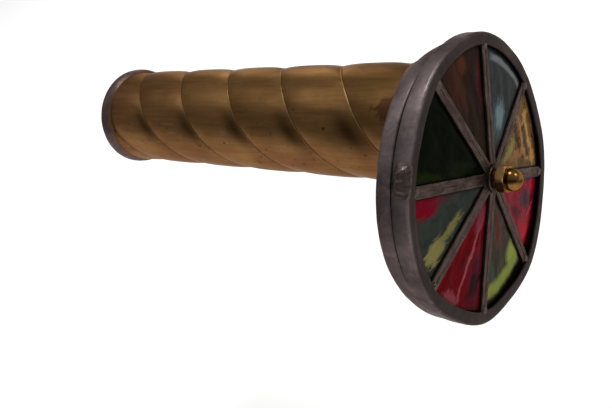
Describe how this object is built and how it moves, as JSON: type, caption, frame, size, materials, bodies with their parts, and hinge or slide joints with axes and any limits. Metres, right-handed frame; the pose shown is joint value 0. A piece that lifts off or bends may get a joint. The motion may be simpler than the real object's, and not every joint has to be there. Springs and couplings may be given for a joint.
{
  "type": "wheel kaleidoscope",
  "caption": "Hand-held kaleidoscope: a spirally creased brass tube with mirrors inside and stained-glass wheels that turn by hand in front of it on a bolt with an acorn nut.",
  "frame": {"origin": "centre of the flat eyepiece face, on the tube's axis", "axes": "+X along the tube from the eyepiece to the wheels, +Z away from the bolt that carries the wheels"},
  "size_m": [0.1719, 0.0913, 0.0938],
  "materials": {
    "tube_brass": "aged, hand-rubbed brass with brown patina",
    "bright_brass": "polished",
    "lead_came": "dark patinated lead came",
    "solder": "dulled solder with small bright spots",
    "clear_glass": "polished clear glass",
    "mirror": "front-surface mirror",
    "spacer_foam": "matt black foam",
    "front_glass_1": "streaky art glass, wavy surface",
    "front_glass_2": "streaky art glass, wavy surface",
    "front_glass_3": "streaky art glass, wavy surface",
    "front_glass_4": "streaky art glass, wavy surface",
    "front_glass_5": "streaky art glass, wavy surface",
    "front_glass_6": "streaky art glass, wavy surface",
    "front_glass_7": "streaky art glass, wavy surface",
    "front_glass_8": "streaky art glass, wavy surface",
    "rear_glass_1": "streaky art glass, wavy surface",
    "rear_glass_2": "streaky art glass, wavy surface",
    "rear_glass_3": "streaky art glass, wavy surface",
    "rear_glass_4": "streaky art glass, wavy surface",
    "rear_glass_5": "streaky art glass, wavy surface",
    "rear_glass_6": "streaky art glass, wavy surface",
    "rear_glass_7": "streaky art glass, wavy surface",
    "rear_glass_8": "streaky art glass, wavy surface"
  },
  "bodies": {
    "body": {"tube": "tube_brass", "eyepiece_band": "lead_came", "eyepiece_disc": "tube_brass", "eye_lens": "clear_glass", "mirror_base": "mirror", "mirror_left": "mirror", "mirror_right": "mirror", "mirror_spacer_rear": "spacer_foam", "mirror_spacer_front": "spacer_foam", "object_window": "clear_glass", "front_band": "lead_came", "axle_sleeve": "tube_brass", "sleeve_solder": "solder", "axle_bolt": "bright_brass", "rear_washer": "tube_brass", "middle_washer": "tube_brass", "front_spacer": "tube_brass", "acorn_nut": "bright_brass"},
    "rear_wheel": {"rear_wheel_rim": "lead_came", "rear_wheel_hub": "solder", "rear_wheel_bush": "tube_brass", "rear_wheel_solder": "solder", "rear_wheel_spoke_1": "solder", "rear_wheel_spoke_2": "solder", "rear_wheel_spoke_3": "solder", "rear_wheel_spoke_4": "solder", "rear_wheel_spoke_5": "solder", "rear_wheel_spoke_6": "solder", "rear_wheel_spoke_7": "solder", "rear_wheel_spoke_8": "solder", "rear_wheel_glass_1": "rear_glass_1", "rear_wheel_glass_2": "rear_glass_2", "rear_wheel_glass_3": "rear_glass_3", "rear_wheel_glass_4": "rear_glass_4", "rear_wheel_glass_5": "rear_glass_5", "rear_wheel_glass_6": "rear_glass_6", "rear_wheel_glass_7": "rear_glass_7", "rear_wheel_glass_8": "rear_glass_8"},
    "front_wheel": {"front_wheel_rim": "lead_came", "front_wheel_hub": "solder", "front_wheel_bush": "tube_brass", "front_wheel_solder": "solder", "front_wheel_spoke_1": "solder", "front_wheel_spoke_2": "solder", "front_wheel_spoke_3": "solder", "front_wheel_spoke_4": "solder", "front_wheel_spoke_5": "solder", "front_wheel_spoke_6": "solder", "front_wheel_spoke_7": "solder", "front_wheel_spoke_8": "solder", "front_wheel_glass_1": "front_glass_1", "front_wheel_glass_2": "front_glass_2", "front_wheel_glass_3": "front_glass_3", "front_wheel_glass_4": "front_glass_4", "front_wheel_glass_5": "front_glass_5", "front_wheel_glass_6": "front_glass_6", "front_wheel_glass_7": "front_glass_7", "front_wheel_glass_8": "front_glass_8"}
  },
  "joints": [
    {"name": "front_wheel_spin", "type": "hinge", "parent": "body", "child": "front_wheel", "pos_m": [0.158, 0, -0.0228], "axis": [1, 0, 0], "continuous": true},
    {"name": "rear_wheel_spin", "type": "hinge", "parent": "body", "child": "rear_wheel", "pos_m": [0.15275, 0, -0.0228], "axis": [1, 0, 0], "continuous": true}
  ]
}
